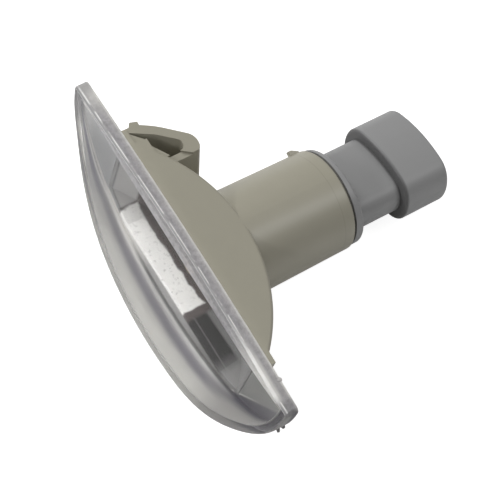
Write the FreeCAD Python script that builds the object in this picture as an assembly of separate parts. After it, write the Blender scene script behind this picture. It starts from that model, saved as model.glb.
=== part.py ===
# Side repeater lamp for a vehicle wing: clear leaf-shaped lens, moulded bulb housing with a spring
# clip, and a bayonet bulb holder with a two-way connector.
# Frame: origin on the bulb tube axis in the back plane of the lens rim, +X along the lens towards
# its broad end, +Y back through the panel, +Z up to the nearly straight edge of the lens.
# All sizes are in millimetres.
import FreeCAD, Part
import math
import os

os.makedirs("parts", exist_ok=True)

V = FreeCAD.Vector
ORIGIN = V(0, 0, 0)
ALONG_Y = V(0, 1, 0)

# Lens outline: the straight edge is one shallow arc, the rest one curve through these points
straight_edge = [(-60, 14.7), (0, 17.1), (60, 14.7)]
curved_edge = [(48.0, 24), (48.9, 13), (48.4, 5), (45.9, -3), (40.2, -9.2), (29.2, -15.8), (15, -19.7),
               (1, -20.7), (-13, -19.4), (-25, -16), (-37, -9), (-46, 0), (-51.0, 8), (-52.3, 15), (-52.4, 24)]
tip_radius = 1.6
side_draft = 0.02
outline_bottom_z = -40.0
outline_top_z = 24.0

# Lens front: depth at the straight edge, and the bulge that grows towards the curved edge
edge_depth = 3.5
bulge_height = 8.1
bulge_peak_x = 12.0
bulge_left = 64.0
bulge_right = 37.0
bulge_right_power = 3.6
bulge_top_z = 16.0
bulge_span_z = 36.0
bulge_crown = 1.36
front_room_y = -16.0
back_room_y = 12.0
front_stations = [-57, -46, -36, -24, -12, 0, 12, 22, 30, 37, 43, 48, 53]
lens_wall = 2.0
lens_front = 1.7
front_edge_radius = 0.8
ledge_width = 0.8
ledge_depth = 1.2

# Housing plate, plinth and bowl
weld_fit = 0.1
plate_depth = ledge_depth
plinth_inset = 2.7
plinth_top_inset = 2.22
plinth_height = 2.2
plinth_left = -35.8
plinth_right = 35.5
end_rib_x = (-31.2, -27.5)
end_rib_low_z = -9.0
end_rib_height = 5.6
bowl_radius = 45.0
bowl_peak = 15.6
bowl_centre_x = 0.6
bowl_low_z = 14.3
bowl_wall = 1.8
bowl_edge_radius = 0.9

# Bulb tube
tube_root_radius = 14.65
tube_end_radius = 14.3
tube_start_y = 8.0
tube_end_y = 44.6
tube_bore = 12.0
tube_end_round = 0.4
index_rib = (2.6, 1.8, 1.3)
index_rib_tail = 0.3
index_angle = 164.0

# Bayonet lugs on the holder and their grooves in the tube
lug_angles = [40.0, 160.0, 280.0]
lug_radius = 12.9
lug_width = 3.2
lug_y = 38.2
lug_length = 2.4
groove_clearance = 0.2
groove_sweep = 38.0

# Spring clip and fixed hook: clip corners as X, Y and corner radius in the plane of the clip top
clip_top_z = 13.8
clip_width = 11.0
clip_lean = 3.4
clip_outside = [(-36.0, -0.6, 0), (-36.0, 5.2, 1.0), (-33.5, 9.6, 25.0), (-26.6, 17.8, 4.0),
                (-22.7, 17.0, 1.6), (-22.7, -0.6, 0)]
clip_inside = [(-35.2, 1.5, 0.2), (-31.3, 8.4, 8.0), (-27.2, 13.4, 1.2), (-24.6, 13.5, 1.6),
               (-24.6, 8.6, 0), (-29.0, 5.7, 0), (-31.1, 5.4, 0)]
clip_tooth = [(-35.8, 3.0, 0), (-37.2, 4.0, 0.3), (-36.6, 6.1, 0.3), (-34.9, 6.0, 0)]
clip_step = 0.8
clip_step_line = [(-24.6, 11.7), (-21.6, 15.8)]
hook_reach = 40.6
hook_gap = 2.15
hook_thickness = 1.9
hook_z = (-6.0, 3.5)
hook_root = 7.4
hook_setback = 0.6
hook_slope = 2.2

# Reflector insert
reflector_thickness = 0.7
reflector_fit = 0.15
reflector_rim = 1.1
reflector_hole = 11.6

# Bulb holder and connector: ovals as width, height, bow of the long and short sides, corner radius
nose_radius = 11.7
nose_wall = 1.6
nose_start_y = 19.0
socket_block_radius = 6.9
seal_thickness = 0.7
seal_inner = 11.9
seal_outer = 13.5
flange_radius = 13.9
flange_thickness = (1.35, 2.9)
flange_thick_side = -30.0
holder_turn = 12.3
neck_size = (23.0, 13.2, 2.0, 2.9, 5.0)
shroud_size = (28.2, 19.3, 3.3, 5.0, 6.5)
shroud_y = 61.9
shroud_end_y = 76.0
shroud_wall = 1.9
shroud_floor = 1.4
shoulder_radius = 0.8
pocket_size = (3.2, 7.0, 0.2, 0.2, 1.0)
pocket_x = 8.4
socket_fit = 0.3
socket_height = 5.2
moat_floor = 2.0
lock_ramp = (6.0, 4.0, 1.2)
lock_ramp_setback = 2.5

# Wedge bulb: glass radius, tip, wedge base
glass_radius = 5.0
glass_wall = 0.7
bulb_tip_y = 1.6
glass_body_end_y = 14.5
wedge_start_y = 17.5
wedge_end_y = 27.0
wedge_size = (9.4, 2.4)
lead_radius = 0.25
lead_x = 2.9
filament_y = 7.6
filament_rise = 1.3
filament_radius = 0.22

# Contacts: sheet thickness, clearance on the glass, jaw and blade
sheet = 0.5
glass_fit = 0.03
jaw_width = 2.6
jaw_y = (20.5, 29.0)
blade_size = (2.8, 0.8)
blade_x = 4.2
blade_end_y = 73.0


def box(x0, x1, y0, y1, z0, z1):
    """Plain block between two corners."""
    return Part.makeBox(x1 - x0, y1 - y0, z1 - z0, V(x0, y0, z0))


def rod(radius, y0, y1):
    """Cylinder on the tube axis."""
    return Part.makeCylinder(radius, y1 - y0, V(0, y0, 0), ALONG_Y)


def turned(shape, degrees):
    """Copy of a shape turned about the tube axis, from +X towards +Z for a positive angle."""
    copy = shape.copy()
    copy.rotate(ORIGIN, ALONG_Y, -degrees)
    return copy


def inset_points(points, inset):
    """Curve points moved inwards, square to the curve through them."""
    curve = Part.BSplineCurve()
    curve.interpolate([V(x, 0, z) for x, z in points])
    moved = []
    for x, z in points:
        tangent = curve.tangent(curve.parameter(V(x, 0, z)))[0]
        moved.append((x + tangent.z * inset, z - tangent.x * inset))
    return moved


def curved_side(inset, y):
    """Closed outline of everything inside the curved lens edge."""
    points = [V(x, y, z) for x, z in inset_points(curved_edge, inset)]
    curve = Part.BSplineCurve()
    curve.interpolate(points)
    return Part.Wire([curve.toShape(), Part.LineSegment(points[-1], points[0]).toShape()])


def straight_side(inset, y):
    """Closed outline of everything below the nearly straight lens edge."""
    left, middle, right = [V(x, y, z - inset) for x, z in straight_edge]
    low_left = V(left.x, y, outline_bottom_z)
    low_right = V(right.x, y, outline_bottom_z)
    return Part.Wire([Part.Arc(left, middle, right).toShape(),
                      Part.LineSegment(right, low_right).toShape(),
                      Part.LineSegment(low_right, low_left).toShape(),
                      Part.LineSegment(low_left, left).toShape()])


def leaf(inset, y_back, y_front, corner=True, draft=side_draft, top_inset=None):
    """Solid inside the lens outline by the inset at y = 0, with drafted sides and rounded tips."""
    if top_inset is None:
        top_inset = inset
    back, front = -draft * y_back, -draft * y_front
    curves = [curved_side(inset + back, y_back), curved_side(inset + front, y_front)]
    straights = [straight_side(top_inset + back, y_back), straight_side(top_inset + front, y_front)]
    curved = Part.makeLoft(curves, True, True)
    straight = Part.makeLoft(straights, True, True)
    body = curved.common(straight).Solids[0]
    if not corner:
        return body
    tips = []
    for edge in body.Edges:
        first, last = edge.Vertexes[0].Point, edge.Vertexes[-1].Point
        if abs(first.y - last.y) > 0.9 * (y_back - y_front) and first.z > 10:
            tips.append(edge)
    return body.makeFillet(max(tip_radius - 0.5 * inset, 0.4), tips)


def bulge(x):
    """Height of the lens bulge over the straight edge at a station along the lens."""
    if x < bulge_peak_x:
        return bulge_height * (1 - ((x - bulge_peak_x) / bulge_left) ** 2)
    return bulge_height * (1 - ((x - bulge_peak_x) / bulge_right) ** bulge_right_power)


def front_y(x, u):
    """Lens front surface: u runs from the straight edge (0) to the curved edge (1)."""
    return -(edge_depth + bulge(x) * (u + bulge_crown * u * (1 - u)))


def front_body(shift):
    """Everything behind the crowned lens front, moved back by a shift."""
    sections = []
    for x in front_stations:
        top, middle, low = [V(x, front_y(x, u) + shift, bulge_top_z - bulge_span_z * u)
                            for u in (-0.1, 0.5, 1.1)]
        top_back = V(x, back_room_y, top.z)
        low_back = V(x, back_room_y, low.z)
        sections.append(Part.Wire([Part.Arc(top, middle, low).toShape(),
                                   Part.LineSegment(low, low_back).toShape(),
                                   Part.LineSegment(low_back, top_back).toShape(),
                                   Part.LineSegment(top_back, top).toShape()]))
    return Part.makeLoft(sections, True, False)


def lens():
    """Clear cover: crowned front, drafted skirt, and a ledge inside that seats the housing plate."""
    outer = leaf(0, 0, front_room_y).common(front_body(0))
    front_edges = []
    for edge in outer.Edges:
        if max(vertex.Point.y for vertex in edge.Vertexes) < -1:
            front_edges.append(edge)
    outer = outer.makeFillet(front_edge_radius, front_edges)
    seat = leaf(lens_wall, 0, -ledge_depth)
    hollow = leaf(lens_wall + ledge_width, 0, front_room_y).common(front_body(lens_front))
    return outer.cut(seat).cut(hollow)


def back_leaf(step):
    """Outline of everything standing on the housing plate, narrowing to the back."""
    top_inset = plinth_top_inset + step
    return leaf(plinth_inset + step, bowl_peak + 1, -plate_depth - 1, False, -side_draft, top_inset)


def drum(step):
    """Drum across the lens, a step inside the outside of the bowl, cut flat below."""
    radius = bowl_radius - step
    low = bowl_low_z - step
    centre = V(bowl_centre_x, bowl_peak - bowl_radius, -low)
    whole = Part.makeCylinder(radius, low + outline_top_z, centre, V(0, 0, 1))
    return whole.common(box(-radius, radius + 1, -plate_depth, bowl_peak + 1, -low, outline_top_z))


def bowl_room(step):
    """Drum kept inside the outline of what stands on the plate."""
    return drum(step).common(back_leaf(step))


def plate_back():
    """Plinth, end rib and bowl in one outline, with the two long edges of the bowl rounded."""
    plinth = box(plinth_left, plinth_right, -plate_depth, plinth_height, outline_bottom_z, outline_top_z)
    end_rib = box(end_rib_x[0], end_rib_x[1], 0, end_rib_height, end_rib_low_z, outline_top_z)
    body = plinth.fuse([end_rib, drum(0)]).common(back_leaf(0))
    long_edges = [edge for edge in body.Edges
                  if edge.BoundBox.YMax > bowl_peak - 1 and edge.BoundBox.XLength > bowl_radius]
    return body.makeFillet(bowl_edge_radius, long_edges)


def clip_outline(corners):
    """Closed plan outline at the clip top, with rounded corners where a radius is given."""
    places = [V(x, y, clip_top_z) for x, y, radius in corners]
    edges = []
    starts = []
    ends = []
    for index, (x, y, radius) in enumerate(corners):
        here = places[index]
        if radius == 0:
            starts.append(here)
            ends.append(here)
            continue
        to_before = (places[index - 1] - here).normalize()
        to_after = (places[(index + 1) % len(places)] - here).normalize()
        half = 0.5 * to_before.getAngle(to_after)
        reach = radius / math.tan(half)
        starts.append(here + to_before * reach)
        ends.append(here + to_after * reach)
        bisector = (to_before + to_after).normalize()
        crest = here + bisector * (radius / math.sin(half) - radius)
        edges.append(Part.Arc(starts[index], crest, ends[index]).toShape())
    for index in range(len(places)):
        edges.append(Part.LineSegment(ends[index], starts[(index + 1) % len(places)]).toShape())
    return Part.Wire(Part.__sortEdges__(edges))


def clip_prism(corners):
    """Clip outline carried down across the clip width, leaning along +X."""
    return Part.Face(clip_outline(corners)).extrude(V(clip_lean, 0, -clip_width))


def spring_clip():
    """Looped strip that springs against the panel edge, with a catch tooth near its root."""
    (near_x, near_y), (far_x, far_y) = clip_step_line
    below = [(near_x, 0), (near_x, near_y), (far_x, far_y), (far_x, 0), (near_x, 0)]
    plan = Part.makePolygon([V(x, y, clip_top_z - clip_step) for x, y in below])
    step = Part.Face(plan).extrude(V(0, 0, 2 * clip_step))
    return clip_prism(clip_outside).cut(clip_prism(clip_inside)).fuse(clip_prism(clip_tooth)).cut(step)


def fixed_hook():
    """Tongue at the broad end that slides behind the panel edge before the clip is pushed in."""
    low, high = hook_z
    outer_x = plinth_right - hook_setback
    inner_x = outer_x - hook_root
    base_y = plinth_height / 2
    back_y = hook_gap + hook_thickness
    side_view = [(inner_x, base_y), (outer_x, base_y), (outer_x, hook_gap), (hook_reach, hook_gap),
                 (hook_reach, hook_gap + hook_thickness / 2), (hook_reach - hook_slope, back_y),
                 (inner_x, back_y), (inner_x, base_y)]
    profile = Part.makePolygon([V(x, y, low) for x, y in side_view])
    return Part.Face(profile).extrude(V(0, 0, high - low))


def rim_edges(body, y):
    """Edges lying in one plane across the tube axis."""
    return [edge for edge in body.Edges if abs(edge.BoundBox.YMin - y) + abs(edge.BoundBox.YMax - y) < 0.01]


def tube():
    """Drafted bulb tube with its index rib."""
    length = tube_end_y - tube_start_y
    body = Part.makeCone(tube_root_radius, tube_end_radius, length, V(0, tube_start_y, 0), ALONG_Y)
    body = body.makeFillet(tube_end_round, rim_edges(body, tube_end_y))
    length, width, height = index_rib
    rib_end_y = tube_end_y - tube_end_round
    rib_y = rib_end_y - length
    foot = tube_end_radius - 1
    crest = tube_end_radius + height
    side_view = [(foot, rib_y), (crest, rib_y), (crest, rib_y + length / 4),
                 (tube_end_radius + index_rib_tail, rib_end_y), (foot, rib_end_y), (foot, rib_y)]
    rib = Part.Face(Part.makePolygon([V(x, y, -width / 2) for x, y in side_view])).extrude(V(0, 0, width))
    return body.fuse(turned(rib, index_angle))


def sector(radius, y0, y1, start, sweep):
    """Slice of a cylinder about the tube axis between two angles."""
    wedge = Part.makeCylinder(radius, y1 - y0, V(0, y0, 0), ALONG_Y, sweep)
    angle = math.degrees(math.atan2(wedge.CenterOfMass.z, wedge.CenterOfMass.x))
    return turned(wedge, start + sweep / 2 - angle)


def bayonet_grooves():
    """Entry slots and locking slots for the holder lugs."""
    radius = lug_radius + groove_clearance
    half_slot = math.degrees((lug_width / 2 + groove_clearance) / lug_radius)
    y0 = lug_y - groove_clearance
    y1 = lug_y + lug_length + groove_clearance
    cuts = []
    for angle in lug_angles:
        entry = angle + groove_sweep
        cuts.append(sector(radius, y0, tube_end_y + 1, entry - half_slot, 2 * half_slot))
        cuts.append(sector(radius, y0, y1, angle - half_slot, groove_sweep + 2 * half_slot))
    return cuts


def housing():
    """One moulding: welding plate, plinth, bowl, bulb tube, spring clip and fixed hook."""
    plate = leaf(lens_wall + weld_fit, 0, -plate_depth)
    body = plate.fuse([plate_back(), tube(), spring_clip(), fixed_hook()])
    body = body.cut([bowl_room(bowl_wall), reflector_rim_block(0), rod(tube_bore, 5, tube_end_y + 1)])
    return body.cut(bayonet_grooves()).removeSplitter()


def reflector_rim_block(fit):
    """Flat rim of the reflector round the bowl mouth."""
    mouth = math.sqrt((bowl_radius - bowl_wall) ** 2 - (bowl_radius - bowl_peak) ** 2)
    grow = reflector_rim - fit
    low = bowl_low_z - bowl_wall + grow
    rim = box(bowl_centre_x - mouth - grow, bowl_centre_x + mouth + grow, -plate_depth,
              -plate_depth + reflector_thickness, -low, outline_top_z)
    return rim.common(back_leaf(bowl_wall - grow))


def reflector():
    """Thin bright liner of the bowl with a flat rim sunk into the housing plate."""
    outside = bowl_wall + reflector_fit
    shell = bowl_room(outside).fuse(reflector_rim_block(reflector_fit))
    hollow = bowl_room(outside + reflector_thickness)
    return shell.cut([hollow, rod(reflector_hole, 0, 2 * bowl_peak)]).removeSplitter()


def bowed_slab(reach, height, bow, y0, y1):
    """Block between two planes, with its upper and lower sides bowed outwards."""
    top = Part.Arc(V(-reach, y0, height - bow), V(0, y0, height), V(reach, y0, height - bow)).toShape()
    low = Part.Arc(V(reach, y0, bow - height), V(0, y0, -height), V(-reach, y0, bow - height)).toShape()
    right = Part.LineSegment(V(reach, y0, height - bow), V(reach, y0, bow - height)).toShape()
    left = Part.LineSegment(V(-reach, y0, bow - height), V(-reach, y0, height - bow)).toShape()
    return Part.Face(Part.Wire([top, right, low, left])).extrude(V(0, y1 - y0, 0))


def oval_block(size, grow, y0, y1):
    """Solid between two planes with four bowed sides and round corners, grown or shrunk all round."""
    width, height, top_bow, side_bow, corner = size
    half_width = width / 2 + grow
    half_height = height / 2 + grow
    flat = bowed_slab(half_width, half_height, top_bow, y0, y1)
    upright = bowed_slab(half_height, half_width, side_bow, y0, y1)
    upright.rotate(ORIGIN, ALONG_Y, 90)
    body = flat.common(upright)
    length = y1 - y0
    corners = [edge for edge in body.Edges if abs(edge.BoundBox.YMax - edge.BoundBox.YMin - length) < 0.01]
    return body.makeFillet(corner + grow, corners)


def shroud():
    """Connector shroud with its shoulder and mouth rounded, still solid."""
    body = oval_block(shroud_size, 0, shroud_y, shroud_end_y)
    rims = rim_edges(body, shroud_y) + rim_edges(body, shroud_end_y)
    body = body.makeFillet(shoulder_radius, rims)
    width, length, height = lock_ramp
    skin = -shroud_size[1] / 2
    y1 = shroud_end_y - lock_ramp_setback
    y0 = y1 - length
    side_view = [(y0, skin + 0.6), (y0, skin - height), (y0 + 1, skin - height), (y1, skin + 0.1),
                 (y1, skin + 0.6), (y0, skin + 0.6)]
    ramp = Part.Face(Part.makePolygon([V(-width / 2, y, z) for y, z in side_view]))
    return body.fuse(ramp.extrude(V(width, 0, 0)))


def holder_flange(flange_y):
    """Flange thicker on one side, its back edge rounded."""
    thin, thick = flange_thickness
    slope = math.degrees(math.atan((thick - thin) / (2 * flange_radius)))
    reach = 2 * flange_radius
    beyond = box(-reach, reach, 0, thick, -reach, reach)
    beyond.rotate(ORIGIN, V(0, 0, 1), slope)
    beyond = turned(beyond, flange_thick_side)
    beyond.translate(V(0, flange_y + (thin + thick) / 2, 0))
    flange = rod(flange_radius, flange_y, flange_y + thick + 0.1).cut(beyond)
    back_edge = [edge for edge in flange.Edges if edge.BoundBox.YMin > flange_y + thin / 2]
    return flange.makeFillet(shoulder_radius, back_edge)


def bulb_holder(contacts, leads):
    """One moulding: bayonet nose with wedge socket, flange, neck and connector shroud."""
    flange_y = tube_end_y + seal_thickness
    thin, thick = flange_thickness
    flange_end = flange_y + thick
    flange = holder_flange(flange_y)
    nose = rod(nose_radius, nose_start_y, flange_y)
    moat = rod(nose_radius - nose_wall, nose_start_y - 1, flange_y - moat_floor)
    moat = moat.cut(rod(socket_block_radius, nose_start_y - 1, flange_y - moat_floor))
    nose = nose.cut(moat)
    half_lug = math.degrees(lug_width / 2 / lug_radius)
    inside = rod(nose_radius - nose_wall / 2, 0, flange_y)
    lugs = [sector(lug_radius, lug_y, lug_y + lug_length, angle - half_lug, 2 * half_lug).cut(inside)
            for angle in lug_angles]
    neck = oval_block(neck_size, 0, flange_y + thin / 2, shroud_y + shroud_floor / 2)
    cavity = oval_block(shroud_size, -shroud_wall, shroud_y + shroud_floor, shroud_end_y + 1)
    connector = neck.fuse(shroud()).cut(cavity)
    for side in (-1, 1):
        pocket = oval_block(pocket_size, 0, flange_end, shroud_y + shroud_floor + 1)
        pocket.translate(V(side * pocket_x, 0, 0))
        connector = connector.cut(pocket)
    half_width = wedge_size[0] / 2 + socket_fit
    half_height = socket_height / 2
    socket = box(-half_width, half_width, nose_start_y - 1, jaw_y[1] + sheet, -half_height, half_height)
    body = flange.fuse([nose, turned(connector, holder_turn)] + lugs)
    return body.cut([turned(socket, holder_turn)] + contacts + leads).removeSplitter()


def holder_seal():
    """Rubber ring squeezed between the tube end and the holder flange."""
    end_y = tube_end_y + seal_thickness
    return rod(seal_outer, tube_end_y, end_y).cut(rod(seal_inner, 0, end_y + 1))


def wire_path(points, radius):
    """Round wire through a list of points with ball corners."""
    shapes = []
    for first, last in zip(points, points[1:]):
        shapes.append(Part.makeCylinder(radius, first.distanceToPoint(last), first, last - first))
    for point in points:
        shapes.append(Part.makeSphere(radius, point))
    return shapes[0].fuse(shapes[1:]).removeSplitter()


def bulb_lead(side):
    """Support wire from the filament through the wedge, folded back along one face."""
    face_z = side * (wedge_size[1] / 2 + lead_radius)
    turn_y = wedge_end_y + lead_radius
    x = side * lead_x
    points = [V(x, filament_y, 0), V(x, turn_y, 0), V(x, turn_y, face_z), V(x, jaw_y[0] + 1, face_z)]
    return turned(wire_path(points, lead_radius), holder_turn)


def bulb_filament(leads):
    """Bowed coil between the two support wires."""
    start = V(-lead_x, filament_y, 0)
    arc = Part.Arc(start, V(0, filament_y - filament_rise, 0), V(lead_x, filament_y, 0)).toShape()
    ring = Part.Wire([Part.makeCircle(filament_radius, start, arc.tangentAt(arc.FirstParameter))])
    coil = Part.Wire([arc]).makePipeShell([ring], True, False)
    return turned(coil, holder_turn).cut(leads)


def bulb_glass(leads):
    """Hollow glass with a domed tip, pressed flat into a wedge base."""
    dome_y = bulb_tip_y + glass_radius
    inner_radius = glass_radius - glass_wall
    outer = rod(glass_radius, dome_y, wedge_end_y).fuse(Part.makeSphere(glass_radius, V(0, dome_y, 0)))
    inner = rod(inner_radius, dome_y, glass_body_end_y).fuse(Part.makeSphere(inner_radius, V(0, dome_y, 0)))
    width, thickness = wedge_size
    half = thickness / 2
    room = glass_radius + 1
    side_view = [(0, -room), (glass_body_end_y, -room), (wedge_start_y, -half), (wedge_end_y, -half),
                 (wedge_end_y, half), (wedge_start_y, half), (glass_body_end_y, room), (0, room), (0, -room)]
    press = Part.Face(Part.makePolygon([V(-room, y, z) for y, z in side_view])).extrude(V(2 * room, 0, 0))
    body = outer.common(press)
    for x0, x1 in ((-room, -width / 2), (width / 2, room)):
        body = body.cut(box(x0, x1, wedge_start_y, wedge_end_y, -room, room))
    return turned(body.cut(inner), holder_turn).cut(leads).removeSplitter()


def contact(side):
    """Brass jaw on the wedge base, a cranked tail through the neck and a flat connector blade."""
    inner = wedge_size[1] / 2 + glass_fit
    x0 = side * lead_x - jaw_width / 2
    x1 = side * lead_x + jaw_width / 2
    y0, y1 = jaw_y
    wire_side = wedge_size[1] / 2 + 2 * lead_radius
    top = wire_side if side > 0 else inner
    low = inner if side > 0 else wire_side
    upper = box(x0, x1, y0, y1, top, top + sheet)
    lower = box(x0, x1, y0, y1, -low - sheet, -low)
    web = box(x0, x1, y1, y1 + sheet, -low - sheet, top + sheet)
    width, thickness = blade_size
    left = side * blade_x - width / 2
    right = side * blade_x + width / 2
    half = thickness / 2
    crank = box(min(x0, left), max(x1, right), y1, y1 + sheet, -half, half)
    blade = box(left, right, y1, blade_end_y, -half, half)
    tip = [edge for edge in blade.Edges if edge.BoundBox.YMin > blade_end_y - 0.01 and edge.Length > 1]
    blade = blade.makeChamfer(0.25, tip)
    return turned(upper.fuse([lower, web, crank, blade]).removeSplitter(), holder_turn)


def export(shape, name):
    """Write one piece after checking it is a single sound solid."""
    if not shape.isValid() or len(shape.Solids) != 1:
        raise ValueError(name + " has " + str(len(shape.Solids)) + " solids, valid " + str(shape.isValid()))
    shape.Solids[0].exportStep("parts/" + name + ".step")


def main():
    contact_left = contact(-1)
    contact_right = contact(1)
    lead_left = bulb_lead(-1)
    lead_right = bulb_lead(1)
    leads = [lead_left, lead_right]
    export(lens(), "lens")
    export(housing(), "housing")
    export(reflector(), "reflector")
    export(bulb_holder([contact_left, contact_right], leads), "bulb_holder")
    export(holder_seal(), "holder_seal")
    export(contact_left, "contact_left")
    export(contact_right, "contact_right")
    export(bulb_glass(leads), "bulb_glass")
    export(bulb_filament(leads), "bulb_filament")
    export(lead_left, "bulb_lead_left")
    export(lead_right, "bulb_lead_right")


main()
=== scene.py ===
"""Looks of the side repeater lamp: fine clear lens, moulded plastics, studio and camera.

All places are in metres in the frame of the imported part: origin on the bulb tube axis in the back
plane of the lens rim, +X to the broad end of the lens, +Y back along the tube, +Z to the nearly
straight edge of the lens. Shapes of the lens are worked out in millimetres and scaled at the end.
"""

import logging
import math
from dataclasses import dataclass, field
from enum import Enum

import bmesh
import bpy
import numpy as np
from mathutils import Matrix, Vector


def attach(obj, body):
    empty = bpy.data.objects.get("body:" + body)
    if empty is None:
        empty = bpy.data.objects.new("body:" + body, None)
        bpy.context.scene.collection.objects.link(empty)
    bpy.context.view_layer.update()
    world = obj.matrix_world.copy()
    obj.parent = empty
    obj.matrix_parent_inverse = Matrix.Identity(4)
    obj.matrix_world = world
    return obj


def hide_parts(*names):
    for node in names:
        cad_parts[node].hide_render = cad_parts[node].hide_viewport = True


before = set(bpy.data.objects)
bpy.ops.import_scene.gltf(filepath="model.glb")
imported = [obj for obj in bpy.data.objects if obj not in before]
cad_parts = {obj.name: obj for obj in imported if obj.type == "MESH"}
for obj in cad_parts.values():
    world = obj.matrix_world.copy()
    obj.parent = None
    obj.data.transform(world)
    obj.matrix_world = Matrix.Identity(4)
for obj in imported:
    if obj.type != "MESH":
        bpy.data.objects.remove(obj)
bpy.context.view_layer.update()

log = logging.getLogger("lamp")
MM = 0.001
SHOULDER_Y = 0.0619


# Curves of the lens outline


def cubic_through(points: np.ndarray, samples: int) -> tuple[np.ndarray, np.ndarray]:
    """Smooth curve through points, spaced by chord length.

    Args:
        points: places to pass through, one row each.
        samples: how many places to give back.

    Returns:
        Places along the curve and the unit tangents there.
    """
    steps = np.linalg.norm(np.diff(points, axis=0), axis=1)
    knots = np.concatenate([[0.0], np.cumsum(steps)])
    slopes = np.diff(points, axis=0) / steps[:, None]
    count = len(points)
    system = np.zeros((count, count))
    right = np.zeros((count, 2))
    for end, picked in ((0, [0, 1, 2, 3]), (count - 1, [-1, -2, -3, -4])):
        near = knots[picked] - knots[end]
        weights = np.linalg.solve(np.vander(near, 4, increasing=True), np.eye(4))[1]
        system[end, end] = 1.0
        right[end] = weights @ points[picked]
    for i in range(1, count - 1):
        system[i, i - 1] = steps[i]
        system[i, i] = 2 * (steps[i - 1] + steps[i])
        system[i, i + 1] = steps[i - 1]
        right[i] = 3 * (steps[i] * slopes[i - 1] + steps[i - 1] * slopes[i])
    tangents = np.linalg.solve(system, right)
    at = np.linspace(0, knots[-1], samples)
    i = np.clip(np.searchsorted(knots, at, side="right") - 1, 0, count - 2)
    h = steps[i][:, None]
    s = (at - knots[i])[:, None] / h
    place = ((1 + 2 * s) * (1 - s) ** 2 * points[i] + s * (1 - s) ** 2 * h * tangents[i]
             + s ** 2 * (3 - 2 * s) * points[i + 1] + s ** 2 * (s - 1) * h * tangents[i + 1])
    turn = ((6 * s ** 2 - 6 * s) * (points[i] - points[i + 1]) / h
            + (3 * s ** 2 - 4 * s + 1) * tangents[i] + (3 * s ** 2 - 2 * s) * tangents[i + 1])
    return place, turn / np.linalg.norm(turn, axis=1)[:, None]


@dataclass(frozen=True)
class LensForm:
    """Sizes of the clear cover, the same as in the construction, in millimetres."""

    arc_ends_x: float = 60.0
    arc_ends_z: float = 14.7
    arc_top_z: float = 17.1
    curved: tuple = ((48.0, 24), (48.9, 13), (48.4, 5), (45.9, -3), (40.2, -9.2), (29.2, -15.8),
                     (15, -19.7), (1, -20.7), (-13, -19.4), (-25, -16), (-37, -9), (-46, 0),
                     (-51.0, 8), (-52.3, 15), (-52.4, 24))
    tip_radius: float = 1.6
    draft: float = 0.02
    edge_depth: float = 3.5
    bulge_height: float = 8.02
    bulge_peak_x: float = 12.0
    bulge_left: float = 64.0
    bulge_right: float = 37.0
    bulge_right_power: float = 3.6
    bulge_top_z: float = 16.0
    bulge_span_z: float = 36.0
    crown: float = 1.36
    wall: float = 2.0
    front: float = 1.7
    edge_radius: float = 0.8
    inner_edge_radius: float = 0.35
    ledge_width: float = 0.8
    ledge_depth: float = 1.21

    def front_y(self, x: np.ndarray, z: np.ndarray) -> np.ndarray:
        """Y of the crowned front over a place of the outline plane."""
        u = (self.bulge_top_z - z) / self.bulge_span_z
        away = x - self.bulge_peak_x
        left = 1 - (away / self.bulge_left) ** 2
        right = 1 - np.abs(away / self.bulge_right) ** self.bulge_right_power
        bulge = self.bulge_height * np.where(away < 0, left, right)
        return -(self.edge_depth + bulge * (u + self.crown * u * (1 - u)))

    def ring(self, inset: float, side: int, tip: int) -> np.ndarray:
        """Closed outline moved inwards, with rounded tips.

        Args:
            inset: how far inside the outer outline.
            side: steps along each long side.
            tip: steps round each tip, an even number.

        Returns:
            Places (x, z), starting in the middle of the narrow tip and running along the
            straight side first.
        """
        corner = max(self.tip_radius - 0.5 * inset, 0.4)
        rise = self.arc_top_z - self.arc_ends_z
        radius = (self.arc_ends_x ** 2 + rise ** 2) / (2 * rise)
        centre = np.array([0.0, self.arc_top_z - inset - radius])
        knots, tangents = self._at_points()
        moved = knots + np.stack([tangents[:, 1], -tangents[:, 0]], 1) * inset
        curve, tangent = cubic_through(moved, 6000)
        inward = np.stack([tangent[:, 1], -tangent[:, 0]], 1)
        centres = curve + inward * corner
        gap = radius - corner - np.linalg.norm(centres - centre, axis=1)
        cross = np.nonzero(gap[:-1] * gap[1:] < 0)[0]
        first, last = cross[0], cross[-1]
        broad, narrow = centres[first], centres[last]
        low = curve[first + 1:last]
        length = np.concatenate([[0], np.cumsum(np.linalg.norm(np.diff(low, axis=0), axis=1))])
        spaced = np.linspace(0, length[-1], side + 1)
        low = np.stack([np.interp(spaced, length, low[:, k]) for k in (0, 1)], 1)
        feet = [math.atan2(*(c - centre)) for c in (narrow, broad)]
        angle = np.linspace(feet[0], feet[1], side + 1)
        top = centre + radius * np.stack([np.sin(angle), np.cos(angle)], 1)

        def tip_arc(middle, start, finish):
            a0 = math.atan2(*(start - middle)[::-1])
            a1 = math.atan2(*(finish - middle)[::-1])
            a1 += -2 * math.pi * round((a1 - a0 - math.copysign(1e-9, 1)) / (2 * math.pi))
            a = np.linspace(a0, a1, tip + 1)
            return middle + corner * np.stack([np.cos(a), np.sin(a)], 1)

        broad_arc = tip_arc(broad, top[-1], low[0])
        narrow_arc = tip_arc(narrow, low[-1], top[0])
        half = tip // 2
        return np.concatenate([narrow_arc[half:-1], top[:-1], broad_arc[:-1], low[:-1],
                               narrow_arc[:half]])

    def _at_points(self) -> tuple[np.ndarray, np.ndarray]:
        """The outline points and the unit tangents of the curve at them."""
        points = np.array(self.curved, float)
        place, tangent = cubic_through(points, 60001)
        nearest = [int(np.argmin(np.linalg.norm(place - p, axis=1))) for p in points]
        return points, tangent[nearest]


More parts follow.
